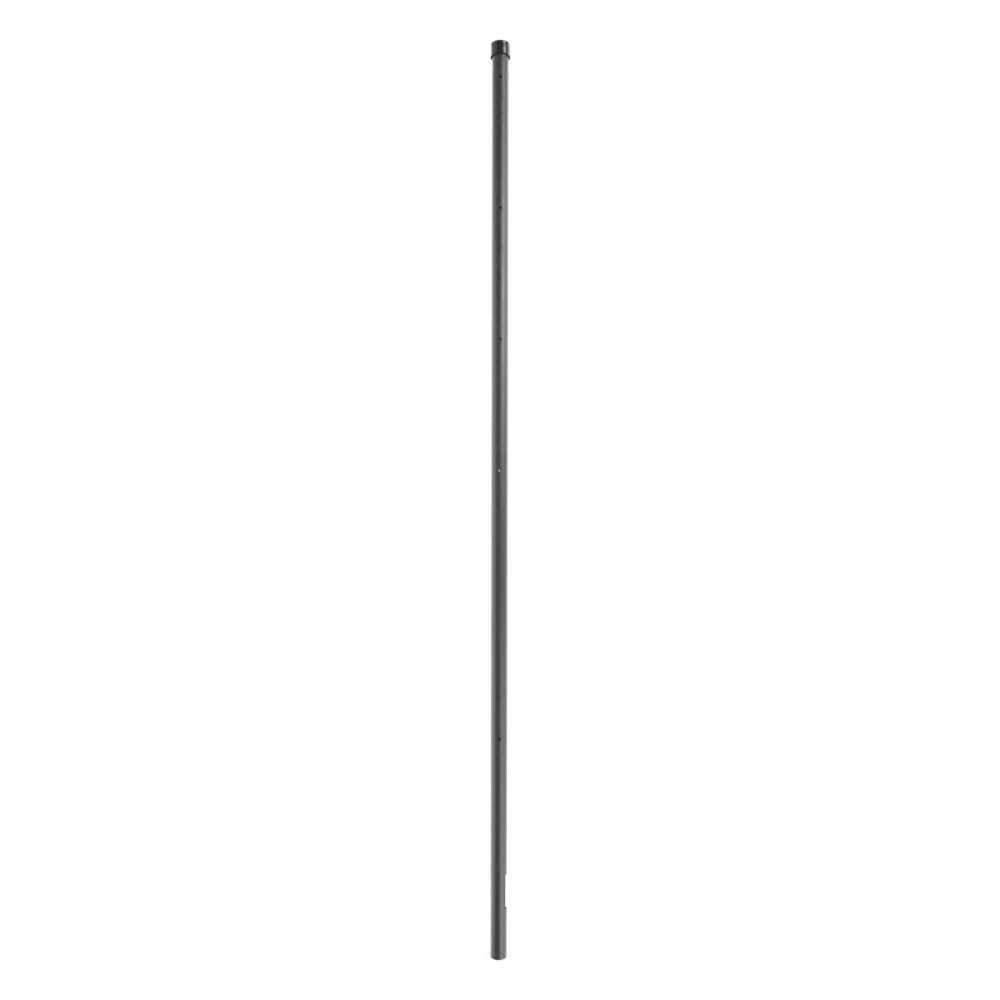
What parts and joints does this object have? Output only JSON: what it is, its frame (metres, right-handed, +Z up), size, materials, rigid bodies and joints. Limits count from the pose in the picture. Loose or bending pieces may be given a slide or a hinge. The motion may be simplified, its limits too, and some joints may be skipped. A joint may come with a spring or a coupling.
{
  "type": "electric fence corner post",
  "caption": "Round powder-coated steel post for an electric fence, with wire holes down its front, a lead-out window near the foot and a black push-over cap.",
  "frame": {"origin": "centre of the tube's lower cut end", "axes": "+Z up the post; the wire holes face -Y; the lead-out window faces +X"},
  "size_m": [0.046, 0.046, 2.103],
  "materials": {
    "powder_coat": "satin, fine-grained powder coat",
    "cap_plastic": "glossy moulded black"
  },
  "bodies": {
    "root": {"post_tube": "powder_coat", "top_cap": "cap_plastic"}
  },
  "joints": []
}
